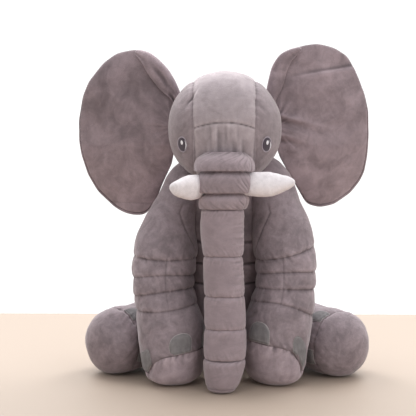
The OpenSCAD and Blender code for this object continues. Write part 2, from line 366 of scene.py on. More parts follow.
def torso_point(phi, z):
    """phi is the angle round the torso, and FORWARD is the middle of the belly."""
    back = JOINT["front_leg_left_swing"][1] + 66
    a = np.arcsin(np.clip((z - TORSO_MID) / TORSO_HALF, -1, 1))
    r = TORSO_R * np.clip(np.cos(a), 0, 1) ** 0.8 * (1 - 0.13 * np.sin(a))
    # fuller in the chest
    r = r * (1 + 0.05 * np.exp(-(((z - 300) / 70) ** 2)))
    cy = back - (z - 196) * TORSO_LEAN + 2
    q = xyz(r * np.cos(phi), cy + r * np.sin(phi), z + 0 * phi)
    d = 3.0 * lumps(q, 70, 11) + 1.2 * lumps(q, 24, 12)
    front = np.clip(-np.sin(phi), 0, 1) ** 0.5
    for h in WAIST_SEAMS:
        d = d - 5 * front * np.exp(-np.abs(z - h - 6 * np.cos(phi) ** 2) / 6)
    side_seam = apart(2 * phi, 0) / 2 * r
    d = d - 3.5 * np.exp(-side_seam / 5)
    d = d + gathers(z, side_seam, 14, 11, 5, 1.0)
    base = np.clip(1 - z / 30, 0, 1)
    d = d * (1 - 0.7 * base) * np.clip(r / 25, 0, 1)
    rr = r + d
    return xyz(rr * np.cos(phi), cy + rr * np.sin(phi) * 0.97, z + 0 * phi)


def torso():
    zs = np.concatenate([[TORSO_TOP + 4], np.linspace(TORSO_TOP, 3, count(190)), [1.2, 0.5]])
    for name, lo, hi, stands in (
        ("belly_panel_cloth", math.pi, 2 * math.pi, ("belly_panel", "torso_filling")),
        ("back_panel_cloth", 0, math.pi, ("back_panel",)),
    ):
        phi = np.linspace(lo, hi, count(150))
        g = torso_point(phi[None, :], zs[:, None])
        g[-1] = np.array([TORSO[0], g[-2, :, 1].mean(), 0.5])
        # the gap between the legs is deep: its cloth is shaded as if less light reached it
        high = np.clip((g[..., 2] - 120) / 110, 0, 1)
        between = np.exp(-((g[..., 0] / 66) ** 4)) * np.clip((345 - g[..., 2]) / 50, 0, 1)
        belly = name == "belly_panel_cloth"
        shade = between * (0.1 + 1.5 * high) if belly else 0.0
        ob = mesh(name, g, wrap=False, out=(0, TORSO[1], 190), shade=shade)
        dress(ob, "belly_shaded" if belly else "body", "torso", stands=stands)


# -------------------- head
HC, HEAD_SIZE = span("head_filling")
HR = HEAD_SIZE[0] / 2 + CLOTH
SEAM_X = 54.0  # from the head's middle to the seam between crown and cheek
EYE_X, EYE_Z = 73.5, -28.5  # an eye's middle, from the head's


def head_surface(d, out=0.0):
    """Point of the head in direction d from its middle."""
    d = d / np.linalg.norm(d, axis=-1, keepdims=True)
    x, y, z = d[..., 0], d[..., 1], d[..., 2]
    r = HR * (1 + 0.025 * np.clip(-z, 0, 1) * np.abs(x) + 0.01 * np.abs(x))
    p = d * r[..., None]
    e = 1.6 * lumps(p, 60, 21) + 0.7 * lumps(p, 22, 22)
    # seams between the crown and the cheeks
    seam = np.abs(np.abs(p[..., 0]) - SEAM_X - 2 * np.sin(p[..., 2] / 40))
    e = e - 3.2 * np.exp(-seam / 3.5)
    e = e + gathers(p[..., 2] + 0.7 * p[..., 1], seam, 10, 10, 31, 0.7)
    # a seam arched across the forehead, gathered below
    front = np.clip(-y * 1.6 - 0.3, 0, 1) * (np.abs(p[..., 0]) < SEAM_X)
    arch = p[..., 2] - (9 - 0.0035 * p[..., 0] ** 2)
    e = e - front * 2.2 * np.exp(-np.abs(arch) / 2.2)
    below = np.clip(-arch, 0, 60)
    fold = noise(xyz(p[..., 0] / 8.5, below / 60, 0 * y + 4), 33)
    middle = np.clip(1.3 - np.abs(p[..., 0]) / 45, 0, 1)
    e = e + front * 2.7 * fold * np.clip(below / 26, 0, 1) * middle
    pleats = noise(xyz(p[..., 0] / 6.0, 0 * y, 0 * y + 9), 34)
    e = e + front * 0.8 * pleats * np.exp(-np.abs(arch) / 9)
    # small dart above the left eye
    dx, dz = p[..., 0] + 57, p[..., 2] - 53
    e = e - 2.6 * np.exp(-((dx - 0.6 * dz) ** 2) / 8 - (dz / 12) ** 2) * (y < 0)
    return HC + d * (r + e + out)[..., None]


def head():
    phi = around(300)
    edge = SEAM_X / HR
    for name, a, b, points, mat in (
        ("cheek_left", -1.0, -edge, 130, "cheek"),
        ("forehead", -edge, edge, 170, "crown"),
        ("cheek_right", edge, 1.0, 130, "cheek"),
    ):
        t = np.linspace(math.asin(a), math.asin(b), count(points))
        x = np.sin(t)[:, None] + 0 * phi
        c = np.cos(t)[:, None]
        g = head_surface(xyz(x, c * np.cos(phi), c * np.sin(phi)))
        for r in (0, -1):
            if np.ptp(g[r], axis=0).max() < 2:
                g[r] = g[r].mean(0)
        dress(mesh(name + "_cloth", g, out=HC), mat, "head",
              stands=(name + "_panel", "head_filling"))


def on_head(x, z, out=0.0):
    """Point on the face whose x and height above the head's middle are given."""
    x, z = np.asarray(x, float), np.asarray(z, float)
    y = -np.sqrt(np.clip(HR**2 - x**2 - z**2, 1, None))
    for _ in range(3):
        p = head_surface(xyz(x, y, z), out) - HC
        k = np.linalg.norm(p, axis=-1)
        y = -np.sqrt(np.clip(k**2 - x**2 - z**2, 1, None))
    return head_surface(xyz(x, y, z), out)


def oval(name, cx, cz, w, h, out, mat, lean, ring=0.0, dome=0.6, stands=()):
    """A raised patch of stitches on the face, w by h, or a ring of that size."""
    n, m = count(64), 10
    t = np.linspace(0, 2 * np.pi, n, endpoint=False)
    rows = []
    for k in range(m + 1):
        q = k / m
        s = ring + (1 - ring) * (1 - q) if ring else 1 - q
        high = dome * math.sqrt(max(0.0, 1 - ((2 * q - 1) if ring else (1 - q)) ** 2))
        u, v = s * w / 2 * np.cos(t), s * h / 2 * np.sin(t)
        x = cx + u * math.cos(lean) - v * math.sin(lean)
        z = cz + u * math.sin(lean) + v * math.cos(lean)
        rows.append(on_head(x, z, out + high))
    g = np.array(rows)
    if not ring:
        g[-1] = g[-1].mean(0)
    dress(mesh(name, g, out=HC), mat, "head", stands=stands)


def eyes():
    for name, s in SIDES.items():
        cx, cz = s * EYE_X, EYE_Z
        lean = -s * 0.12
        oval(f"eye_{name}_outline", cx, cz, 17.8, 27.8, 0.1, "ring", lean, ring=0.85, dome=0.5)
        oval(f"eye_{name}_iris", cx, cz, 14.2, 23.4, 0.3, "iris", lean, stands=(f"eye_{name}",))
        glint_x = cx + (1.2 if s > 0 else -0.8)
        oval(f"eye_{name}_glint", glint_x, cz + 3.2, 4.2, 7.5, 1.1, "glint", lean, dome=0.4)
        # the white shows as a sickle on one side of the iris
        t = np.linspace(-0.95, 0.95, count(40))
        rows = []
        for k in range(7):
            q = k / 6
            wide = 1.4 * np.cos(t * np.pi / 2 / 0.95)
            x = cx + 7.4 * np.cos(t) - 0.6 + wide * (q - 0.5)
            z = cz + 11.0 * np.sin(t) - 1.5
            rows.append(on_head(x, z, 0.9 + 0.4 * math.sin(q * math.pi)))
        ob = mesh(f"eye_{name}_white", np.array(rows), wrap=False, out=HC)
        dress(ob, "glint", "head")


# -------------------- trunk
ROOT = JOINT["trunk_lift"]
SEAMS = [ROOT] + [JOINT[f"trunk_curl_{k}"] for k in range(1, 5)]
TIP = SEAMS[-1] + (SEAMS[-1] - SEAMS[-2]) * (57.0 / (SEAMS[-2][2] - SEAMS[-1][2]))
# the middle line of the rolls and the trunk: x and y at each height
AXZ = [ROOT[2] + 97, ROOT[2] + 65, ROOT[2] + 28, ROOT[2]] + [s[2] for s in SEAMS[1:]] + [0.0]
AXY = [HC[1] - 79, HC[1] - 88, HC[1] - 92, ROOT[1]] + [s[1] for s in SEAMS[1:]] + [TIP[1]]
AXX = [0, 0, 0, -2.5, -2.5, 0.5, 1.5, 0.5, -4.5]
ROLLS = {
    "brow_roll": (ROOT[2] + 97, ROOT[2] + 65.3),
    "muzzle_roll_upper": (ROOT[2] + 64.7, ROOT[2] + 28.3),
    "muzzle_roll_lower": (ROOT[2] + 27.7, ROOT[2] + 0.4),
}


def channel_point(phi, t, top, low, wide, deep, seed, k):
    """A stuffed channel: t from 0 at its upper seam to 1 at its lower one.

    wide and deep are its half sizes at the top, middle and bottom. k counts the channels from the
    top: 0 to 2 are the rolls of the muzzle, and 3 and up the trunk.
    """
    roll = k <= 2
    front = np.clip(-np.sin(phi), 0, 1)
    z = top + (low - top) * t
    bow = 2.2 * front**2
    zz = z + bow
    cx, cy = curve(z, AXZ, AXX), curve(z, AXZ, AXY)
    w, d = curve(t, [0, 0.5, 1], wide), curve(t, [0, 0.5, 1], deep)
    up, dn = t * (top - low), (1 - t) * (top - low)
    if roll:
        # each roll hangs over the one below, so its upper edge is the rounder one
        puff = -6.2 * np.exp(-((up / 6.0) ** 2)) - 1.8 * np.exp(-up / 12)
        puff = puff - 2.0 * np.exp(-dn / 2.0)
        # the rolls run back into the head
        d = d + (26, 14, 7)[k] * np.clip(np.sin(phi), 0, 1)
    else:
        puff = -2.6 * np.exp(-up / 2.4) - 1.3 * np.exp(-up / 9)
        puff = puff - 2.2 * np.exp(-dn / 2.4) - 0.9 * np.exp(-dn / 9)
    q = xyz(w * np.cos(phi), d * np.sin(phi), zz)
    arc = phi * w
    e = puff + 0.9 * lumps(q, 30, seed) + gathers(arc, up, 9, 7.5, seed + 1, 1.0)
    e = e + gathers(arc, dn, 8, 7.0, seed + 2, 0.9)
    # a seam down the right of the muzzle and one down the back of the trunk
    seam = apart(phi, 1.86 * np.pi if roll else 0.5 * np.pi) * w
    e = e - (1.8 if roll else 2.2) * np.exp(-seam / 3)
    if roll:
        slant = noise(xyz((arc + 0.8 * zz) / 4.5, zz / 40, 0 * zz + k), 40)
        e = e + 0.9 * slant * np.exp(-(((phi - 5.45) / 0.28) ** 2))
    # fine cross wrinkles where the stuffing slackens on one side
    if k in (3, 4):
        side = np.clip(np.cos(phi - 5.95), 0, 1) ** 6
        e = e + 0.8 * side * noise(xyz(arc / 30, zz / 3.6, 0 * zz + k), 61)
    return xyz(cx + (w + e) * np.cos(phi), cy + (d + e) * np.sin(phi), zz - bow * 0.25)


def trunk_bend(i):
    """Bodies on either side of channel i + 1's upper seam, with points a little above and a little below
    it.
    """
    above, below = [0, 0, 10], [0, -3, -26 if i == 0 else -16]
    return "head" if i == 0 else f"trunk_{i}", f"trunk_{i + 1}", SEAMS[i] + above, SEAMS[i] + below


def trunk():
    phi = around(190)[None, :]
    specs = []
    rolls = [
        ("brow_roll", (43, 51.5, 53), (42, 49, 50)),
        ("muzzle_roll_upper", (49, 50, 49), (47, 48, 47)),
        ("muzzle_roll_lower", (43.5, 44, 41), (43, 43, 41)),
    ]
    for k, (name, w, d) in enumerate(rolls):
        top, low = ROLLS[name]
        specs.append((name + "_cloth", top, low, w, d, k, "head", None, (name,)))
    half = [(37.5, 37.5, 34.8), (34.6, 34.6, 35.2), (35.4, 35.8, 36.4), (36.4, 36.8, 36.4)]
    zs = [s[2] for s in SEAMS] + [1.0]
    for i, w in enumerate(half):
        specs.append((f"trunk_{i + 1}_cloth", zs[i] - 0.2, zs[i + 1] + 0.2, w, w, i + 3, None,
                      trunk_bend(i), (f"trunk_{i + 1}_skin", f"trunk_{i + 1}_filling")))
    for name, top, low, w, d, k, body, bend, stands in specs:
        # rows closer together near both seams
        rows = np.linspace(0, np.pi, count(int(2 * (top - low)) + 10))
        t = np.concatenate([[0], 0.5 - 0.5 * np.cos(rows), [1]])
        g = channel_point(phi, t[:, None], top, low, w, d, 50 + 3 * k, k)
        for r, q in ((0, 1), (-1, -2)):
            g[r] = g[q].mean(0) + [0, 0, (-3 if r == 0 else 3)]
        mat = "trunk" if k > 2 else "muzzle"
        dress(mesh(name, g), mat, body, bend, stands)
    # the last channel closes in a blunt tip
    top = zs[4] - 0.2
    t = np.linspace(0, 1, count(120))
    drop = np.array([0, 0.03, 0.1, 0.25, 0.45, 0.65, 0.82, 0.93, 0.99, 1.0, 1.0])
    wide = np.array([34, 35.5, 36, 35.2, 33.5, 30.5, 27, 23, 17, 9, 0.0])
    s = np.linspace(0, 1, len(drop))
    z = top - (top - 1.0) * curve(t, s, drop)[:, None]
    w = np.clip(curve(t, s, wide), 0, None)[:, None]
    cx, cy = curve(z, AXZ, AXX), curve(z, AXZ, AXY)
    q = xyz(w * np.cos(phi), w * np.sin(phi), z + 0 * phi)
    up = top - z
    e = 0.9 * lumps(q, 26, 80) + gathers(phi * w, up, 9, 8, 81, 0.9) - 2.0 * np.exp(-up / 3)
    e = e + 0.9 * crease(q, 14, 82) * np.clip(1 - z / 18, 0, 1)
    rim = np.abs(z - 9.0)
    e = (e - 1.2 * np.exp(-rim / 2.0)) * np.clip(w / 14, 0, 1)
    g = xyz(cx + (w + e) * np.cos(phi), cy + (w + e) * np.sin(phi), z + 0 * phi)
    g = np.concatenate([g[:1] * 0 + [[[cx[0, 0], cy[0, 0], top - 3]]], g])
    g[-1] = g[-1].mean(0)
    dress(mesh("trunk_5_cloth", g), "trunk", None, trunk_bend(4),
          ("trunk_5_skin", "trunk_5_filling"))


# -------------------- tusks
def tusks():
    for name, s in SIDES.items():
        c, size = span(f"tusk_{name}")
        # wide is the half width at even steps, and place how far along the tusk each step lies
        if s < 0:
            root = np.array([-42, ROOT[1] + 6, ROOT[2] + 40])
            tip = np.array([c[0] - size[0] / 2 + 6, c[1] - size[1] / 2 + 4, ROOT[2] + 38])
            wide = [18, 21.5, 22, 20, 16.5, 13.5, 10.5, 6, 0]
            place = [0, 0.2, 0.42, 0.56, 0.72, 0.86, 0.95, 0.99, 1.0]
        else:
            root = np.array([30, ROOT[1] + 6, ROOT[2] + 42])
            tip = np.array([c[0] + size[0] / 2 + 2, c[1] - size[1] / 2 + 10, ROOT[2] + 47])
            wide = [20, 21.5, 22, 21.5, 17, 12, 6, 3.5, 0]
            place = [0, 0.2, 0.4, 0.56, 0.72, 0.87, 0.97, 0.995, 1.0]
        axis = tip - root
        length = np.linalg.norm(axis)
        axis /= length
        side = np.cross(axis, [0, 0, 1.0])
        side /= np.linalg.norm(side)
        upward = np.cross(side, axis)
        phi = around(110)[None, :]
        t = np.linspace(0, 1, count(90))[:, None]
        k = np.linspace(0, 1, len(wide))
        along = np.interp(t, k, place) * length
        r = np.interp(t, k, wide)
        # cut from flat panels, so its section has soft corners
        corner = 1 + 0.07 * np.cos(3 * phi + 0.5 + s) + 0.03 * np.cos(2 * phi)
        sag = (-3.0 if s > 0 else -1.0) * np.sin(np.pi * np.clip(along / length, 0, 1))
        q = xyz(r * np.cos(phi), r * np.sin(phi), along + 0 * phi)
        r = r * corner + (0.8 * lumps(q, 22, 90) + 0.5 * lumps(q, 9, 91)) * np.clip(r / 8, 0, 1)
        g = (root + axis * along[..., None] + side * (r * np.cos(phi))[..., None]
             + upward * (r * np.sin(phi) + sag)[..., None])
        g[-1] = g[-1].mean(0)
        g = np.concatenate([g[:1] * 0 + root, g])
        dress(mesh(f"tusk_{name}_cloth", g), "white", "head",
              stands=(f"tusk_{name}",))


# -------------------- ears
EAR_TALL = 318.0  # the outlines are drawn for an ear of this height
EAR_A, EAR_B = 98.0, 157.0  # half axes of an oval close to them
# cx, cz: an ear's middle, outwards and up from the head's. a0, turn and strip: where the folded
# rim starts, how far round it runs and how wide it is. rim: the outline
EARS = {
    "left": dict(
        cx=178.0, cz=-8.0, seed=100, fold=0.9, a0=1.66, turn=1.0, strip=33.0,
        rim=((171, 144), (201, 139), (227, 122), (257, 87), (270, 59), (279, 16), (279, -23), (275, -49),
             (264, -88), (245, -122), (214, -151), (195, -161), (175, -166), (152, -165), (133, -146),
             (118, -108), (108, -87), (98, -67), (88, -20), (84, 20), (82, 60), (93, 84), (104, 103),
             (119, 120), (137, 136), (158, 144))),
    "right": dict(
        cx=178.0, cz=0.0, seed=120, fold=1.5, a0=1.84, turn=0.95, strip=27.0,
        rim=((171, 155), (202, 149), (230, 134), (241, 117), (254, 89), (264, 66), (272, 33), (274, -10),
             (273, -53), (269, -84), (260, -103), (243, -125), (210, -146), (182, -151), (156, -144),
             (143, -122), (122, -88), (102, -53), (88, -10), (82, 20), (78, 60), (83, 85), (89, 111),
             (102, 132), (119, 142), (143, 150))),
}
for side_name, ear in EARS.items():
    # the outline as a smooth table of radius against angle, as tall as the CAD ear
    grow = span(f"ear_{side_name}_front_panel")[1][2] / EAR_TALL
    pts = np.array(ear["rim"], float) * [1.0, grow] - [ear["cx"], ear["cz"]]
    loop = np.concatenate([pts, pts[:1]])
    k = np.linspace(0, len(pts), 1441)[:-1]
    i = k.astype(int)
    dense = loop[i] + (loop[i + 1] - loop[i]) * (k - i)[:, None]
    ang, rad = np.arctan2(dense[:, 1], dense[:, 0]), np.hypot(dense[:, 0], dense[:, 1])
    order = np.argsort(ang)
    even = np.linspace(-np.pi, np.pi, 721)[:-1]
    rad = np.interp(even, ang[order], rad[order], period=2 * np.pi)
    soft = np.exp(-((np.arange(-14, 15) / 6.5) ** 2))
    rad = np.convolve(np.tile(rad, 3), soft / soft.sum(), "same")[720:1440]
    ear["table"] = (even, rad)


def ear_radius(e, th):
    """Outline, with th from the outer side, turning up over the top."""
    r = np.interp(np.asarray(th) % (2 * np.pi), *e["table"], period=2 * np.pi)
    return r * np.cos(th), r * np.sin(th)


def ear_base(name, u, v):
    """Middle surface of the ear: u outwards from the head's middle plane, v up from its middle."""
    e = EARS[name]
    hinge = JOINT[f"ear_{name}_flap"]
    root_u = abs(hinge[0])
    far = np.clip(u - root_u, 0, None)
    back = 0.29 * far + 0.0006 * far**2 - 0.05 * np.clip(root_u - u, 0, None)
    du, dv = u - (root_u - 12), v - 2
    ang, dist = np.arctan2(dv, np.clip(du, 1, None)), np.hypot(du, dv)
    q = xyz(u, 0 * u, v)
    y = hinge[1] + back + 6 * lumps(q, 90, e["seed"]) + 2.0 * lumps(q, 36, e["seed"] + 1)
    rays = noise(xyz(ang * 3.4, dist / 160, 0 * u), e["seed"] + 2)
    rays = rays + 0.5 * noise(xyz(ang * 7.0, dist / 90, 0 * u), e["seed"] + 3)
    y = y + e["fold"] * rays * np.exp(-((dist - 25) / 50) ** 2) * np.clip(dist / 30, 0, 1)
    if name == "right":
        # a soft fold across the top, and two wrinkles running out from the root
        line = v - 96 - 0.186 * (u - 138)
        step = 6 * np.exp(-np.clip(line, 0, None) / 26) / (1 + np.exp(-line / 1.6))
        y = y + step * np.clip((u - 112) / 70, 0, 1)
        for v0, slope, reach in ((24, 0.24, 52), (-9, 0.3, 36)):
            line = v - v0 + slope * (u - 95)
            ridge = 6.0 * np.exp(-((line / 5.5) ** 2)) - 5.0 * np.exp(-(((line + 11) / 7.0) ** 2))
            y = y - ridge * np.exp(-((np.clip(u - 95, 0, None) / reach) ** 2))
    # the lower end curves back
    return y + 36 * np.clip((-v - 30) / 112, 0, 1) ** 1.25


def ear_point(name, th, r, face):
    """face -1 is the front cloth and +1 the back one; r from 0 at the middle to 1 at the rim."""
    e, s = EARS[name], SIDES[name]
    ox, oz = ear_radius(e, th)
    u, v = e["cx"] + r * ox, e["cz"] + r * oz
    thick = 10.5 * np.clip(1 - r**3.2, 0, 1) ** 0.55
    rimward = (1 - r) * 100
    thick = thick * (0.55 + 0.45 * np.clip((u - 95) / 40, 0, 1))
    y = ear_base(name, u, v) + face * thick
    y = y + gathers(th * 125, rimward, 9, 14, e["seed"] + 5, 0.8)
    return xyz(s * u, y, HC[2] + v)


def ears():
    for name, s in SIDES.items():
        e = EARS[name]
        hinge = JOINT[f"ear_{name}_flap"]
        bend = ("head", f"ear_{name}", (s * 90, hinge[1], HC[2]), (s * 140, hinge[1], HC[2]))
        th = around(260)[None, :]
        edge = 1 - 0.04 * np.clip(np.cos(th + 0.9), 0, 1) ** 0.7
        t = np.linspace(0, 1, count(110))[:, None]
        rs = np.sin(t * np.pi / 2) ** 0.9 * edge
        front = ear_point(name, th, rs, -1)
        front[0] = front[0].mean(0)
        dip = np.exp(-(((1 - t) * 95) / 3.0))
        front[..., 1] += 3.6 * dip
        mid = front.mean((0, 1)) + [0, 60, 0]
        # the lower end, and all of the right ear, catches more light in the photo
        low = np.clip((HC[2] + 20 - front[..., 2]) / 130, 0, 1)
        shade = -(0.5 if s > 0 else 0.05) - 0.85 * low
        ob = mesh(f"ear_{name}_front_cloth", front, out=mid, shade=shade)
        dress(ob, "ear", None, bend,
              (f"ear_{name}_front_panel", f"ear_{name}_wadding"))
        # the back cloth comes round the rim and shows beside the front one
        k = np.linspace(0, 1, 12)[:, None]
        over = ear_point(name, th, edge + (1 - edge) * np.sin(k * np.pi / 2), -1)
        over[..., 1] += 3.6 * np.exp(-k * 4.0)
        back = ear_point(name, th, np.sin((1 - t) * np.pi / 2) ** 0.9, 1)
        back[-1] = back[-1].mean(0)
        g = np.concatenate([over, back[1:]])
        mid = g.mean((0, 1)) - [0, 60, 0]
        ob = mesh(f"ear_{name}_back_cloth", g, out=mid)
        dress(ob, "ear", None, bend, (f"ear_{name}_back_panel",))
        # the rim is folded forward along the upper inner edge
        t = np.linspace(0, 1, count(120))[:, None]
        ang = e["a0"] + t * e["turn"]
        ring = np.linspace(0, 2 * np.pi, count(48), endpoint=False)[None, :]
        width = e["strip"] * np.sin(np.pi * np.clip(t * 0.93 + 0.03, 0, 1)) ** 0.75
        ox, oz = ear_radius(e, ang)
        n = xyz(ox / EAR_A**2, oz / EAR_B**2)
        n /= np.linalg.norm(n, axis=-1, keepdims=True)
        across = np.cos(ring)
        lift = -3.0 + 5.5 * np.sin(np.pi * np.clip(t * 0.8 + 0.02, 0, 1)) ** 0.5
        inward = lift - width / 2 + across * (width / 2 + 1.0)
        u = e["cx"] + ox + n[..., 0] * inward
        v = e["cz"] + oz + n[..., 1] * inward
        rr = 1 - (width / 2 - across * width / 2) / 110
        base = ear_point(name, ang + 0 * ring, np.clip(rr, 0, 1), -1)[..., 1]
        thin = 6.5 * (0.75 + 0.35 * across) * np.sin(np.pi * np.clip(t, 0.02, 0.98)) ** 0.4
        y = base - 5.0 + thin * np.sin(ring)
        stripes = 1.6 * noise(xyz(across * 1.9, t * 2, 0 * t * ring), e["seed"] + 8)
        y = y + stripes * (np.sin(ring) < 0.2) * (0.4 + t)
        g = xyz(s * u, y, HC[2] + v)
        for r in (0, -1):
            g[r] = g[r].mean(0)
        dress(mesh(f"ear_{name}_rim_fold", g), "ear", None, bend)


# -------------------- front legs
# cx and hx: the leg's middle and half width at each height z. tucks: height, slope outwards and
# bow of each. top: where the shoulder closes. seam: height of the sole's seam in front. nails:
# angle of each from straight ahead, towards +X
LEGS = {
    "left": dict(
        z=[0, 24, 65, 102, 128, 167, 205, 235, 262, 293, 317, 349],
        cx=[86, 88.5, 93.6, 95.4, 101, 108.5, 108.5, 106, 104, 97, 87, 78],
        hx=[44, 53, 59, 60.5, 58, 55, 57, 57, 52.5, 46, 40, 33],
        tucks=((219, 2, 3), (190, -2, -6), (162, -7, -4), (133, -6, 2)),
        seed=200, top=393, seam=60, nails=(-0.95, 0.33, 1.5)),
    "right": dict(
        z=[0, 24, 65, 104, 140, 167, 205, 235, 262, 293, 320, 355],
        cx=[88, 90, 92, 95, 103.5, 109, 110, 107.5, 104.5, 99, 92, 88],
        hx=[42, 50.5, 58, 60.5, 58, 55, 56.5, 57, 55, 51, 45, 36],
        tucks=((226, 12, 4), (196, 2, -5), (168, -1, -3), (139, -12, -12)),
        seed=230, top=399, seam=76, nails=(0.8, -0.6, -1.8)),
}


def leg_seam(name, phi):
    """Height of the seam round the top of the sole."""
    outer = np.cos(phi) * SIDES[name]
    out, back = np.clip(outer, 0, 1), np.clip(np.sin(phi), 0, 1)
    low = LEGS[name]["seam"] - 12 * out - 50 * out**3 + 8 * np.clip(-outer, 0, 1) - 14 * back
    return 24 + np.sqrt((np.clip(low - 24, 0, None)) ** 2 + 9) - 3


def leg_axis(name, z):
    """Depth of the leg's middle at height z."""
    hip = JOINT[f"front_leg_{name}_swing"]
    foot = span(f"front_foot_{name}_sole")[0]
    t = np.clip((hip[2] - z) / hip[2], -0.35, 1)
    bow = 5 * np.sin(np.pi * np.clip(t, 0, 1))
    return hip[1] + (foot[1] - hip[1]) * t - bow + 22 * np.clip(-t, 0, 1)


def leg_point(name, phi, z, out=0.0, rough=1.0):
    """Point of a front leg at height z, out from the cloth; rough 0 leaves out its lowest gathers."""
    L, s = LEGS[name], SIDES[name]
    top = L["z"][-1]
    zc = np.clip(z, 0, top)
    cx = curve(zc, L["z"], L["cx"]) - 0.3 * np.clip(z - top, 0, None)
    cap = np.sqrt(np.clip(1 - ((np.clip(z, top, None) - top) / (L["top"] - top)) ** 2, 0, 1))
    hx = curve(zc, L["z"], L["hx"]) * cap
    hy = hx * curve(zc, [0, 60, 200, 349], [1.02, 1.0, 0.92, 0.95])
    cy = leg_axis(name, z)
    outer = np.cos(phi) * s
    q = xyz(hx * np.cos(phi) + s * cx, cy + hy * np.sin(phi), z + 0 * phi)
    arc = phi * hx
    d = 2.4 * lumps(q, 58, L["seed"]) + 1.1 * lumps(q, 21, L["seed"] + 1)
    for k, (h, slope, bowed) in enumerate(L["tucks"]):
        line = z - (h + slope * outer + bowed * (outer**2 - 0.4))
        w = np.where(line > 0, 2.8, 7.5)
        deep = 3.7 + 1.2 * noise(xyz(arc / 40, 0 * arc + k, 0 * arc), L["seed"] + 4)
        d = d - deep * np.exp(-np.abs(line) / w)
        d = d + gathers(arc, line, 8, 9, L["seed"] + 10 + k, 1.3)
    # the cloth is gathered above the top tuck
    height, slope, _ = L["tucks"][0]
    above = np.clip(z - height - slope * outer, 0, None)
    d = d + gathers(arc, above, 11, 8.0, L["seed"] + 5, 1.5) * np.clip(above / 2, 0, 1)
    # seams down the leg: one in front, and one where it meets the chest
    for line, deep, width, low, fade_in, high, fade_out in (
        (FORWARD - s * 0.12, 1.6, 2.2, 130, 20, 228, 10),
        (FORWARD - s * (0.35 + 0.9 * np.clip((300 - z) / 70, 0, 1)), 2.0, 2.5, 225, 15, 320, 15),
    ):
        cut = deep * np.exp(-(apart(phi, line) * hx) / width)
        d = d - cut * np.clip((z - low) / fade_in, 0, 1) * np.clip((high - z) / fade_out, 0, 1)
    # gathers above the sole's seam
    up = z - leg_seam(name, phi)
    d = d - rough * 2.8 * np.exp(-np.clip(up, 0, None) / 3.0)
    d = d + rough * gathers(arc, np.clip(up, 0, None), 15, 10, L["seed"] + 20, 1.6)
    d = d * np.clip(hx / 22, 0, 1)
    x, y = s * cx + (hx + d + out) * np.cos(phi), cy + (hy + d + out) * np.sin(phi)
    return xyz(x, y, z + 0 * phi)


def sole_point(name, phi, t):
    """t from 0 at the seam to 1 under the middle of the foot."""
    L, s = LEGS[name], SIDES[name]
    seam = leg_seam(name, phi)
    rim = leg_point(name, phi, seam)
    even = leg_point(name, phi, seam, rough=0.0)
    c = np.array([s * (L["cx"][0] + 2), leg_axis(name, 20.0), 0])
    k = np.linspace(0, 1, 9)
    wide = curve(t, k, [1.0, 1.0, 0.99, 0.95, 0.85, 0.69, 0.49, 0.26, 0])
    high = curve(t, k, [1.0, 0.82, 0.6, 0.38, 0.19, 0.08, 0.02, 0.0, 0.0])
    z = rim[..., 2] * high
    rounded = curve(z, [0, 5, 10, 16, 22], [0.45, 0.7, 0.86, 0.96, 1.0])
    wide = np.minimum(wide, np.where(z < 22, rounded, 1.0))
    # the leg's gathers fade out below the seam
    near = np.exp(-(rim[..., 2] - z) / 8)
    x = c[0] + (even[..., 0] + (rim[..., 0] - even[..., 0]) * near - c[0]) * wide
    y = c[1] + (even[..., 1] + (rim[..., 1] - even[..., 1]) * near - c[1]) * wide
    far = np.hypot(x - c[0], y - c[1])
    # short gathers below the seam
    d = gathers(phi * 55, rim[..., 2] - z, 7, 8.5, L["seed"] + 30, 1.4) * np.clip(z / 10, 0, 1)
    q = xyz(x, y, z)
    d = d + 1.8 * lumps(q, 30, L["seed"] + 31) * np.clip(z / 12, 0, 1)
    far = np.where(far > 1, far, 1)
    return xyz(x + d * (x - c[0]) / far, y + d * (y - c[1]) / far, np.clip(z, 0.3, None))


def nail_half(v, half_w):
    """Half width of a nail at v, from 0 at its straight edge to 1 at the top of its arch."""
    arch = np.clip(1 - np.clip((v - 0.25) / 0.75, 0, 1) ** 3.0, 0, 1)
    return half_w * np.sqrt(arch) * (1 - 0.06 * (1 - v))


def nail_patch(place, half_w, tall, node_name, bend, mid):
    """A felt nail, arched on top and straight below, on the surface that place gives."""
    name = node_name + "_felt"
    v = np.linspace(0, 1, count(46))[:, None]
    u = np.linspace(-1, 1, count(46))[None, :]
    edge = np.minimum(1, np.minimum((1 - np.abs(u)) * 9, np.minimum(v, 1 - v) * 9)) ** 0.5
    g = place(u * nail_half(v, half_w), v * tall, 0.1 + 1.5 * edge)
    ob = mesh(name, g, wrap=False, out=mid)
    dress(ob, "nail", None, bend, stands=(node_name,))
    # a corded line of stitches round the nail
    left = [(-1, q) for q in np.linspace(0.0, 1, count(60))]
    right = [(1, q) for q in np.linspace(1, 0.0, count(60))]
    bottom = [(q, 0.0) for q in np.linspace(1, -1, count(40))[1:-1]]
    uu, vv = np.array(left + right[1:] + bottom).T
    cx, cy = uu * nail_half(vv, half_w), vv * tall
    tan = xyz(np.roll(cx, -1) - np.roll(cx, 1), np.roll(cy, -1) - np.roll(cy, 1))
    tan /= np.linalg.norm(tan, axis=-1, keepdims=True) + 1e-9
    arc = np.cumsum(np.hypot(np.diff(cx, append=cx[0]), np.diff(cy, append=cy[0])))
    beads = 0.75 + 0.25 * np.cos(arc * 2 * np.pi / 3.2)
    rows = []
    for a in np.linspace(0, 2 * np.pi, 8, endpoint=False):
        x = cx + tan[:, 1] * 0.9 * math.cos(a) * beads
        y = cy - tan[:, 0] * 0.9 * math.cos(a) * beads
        rows.append(place(x, y, 0.5 + 0.8 * math.sin(a) * beads))
    rows.append(rows[0])
    ob = mesh(name + "_stitching", np.array(rows), out=mid)
    dress(ob, "stitch", None, bend)


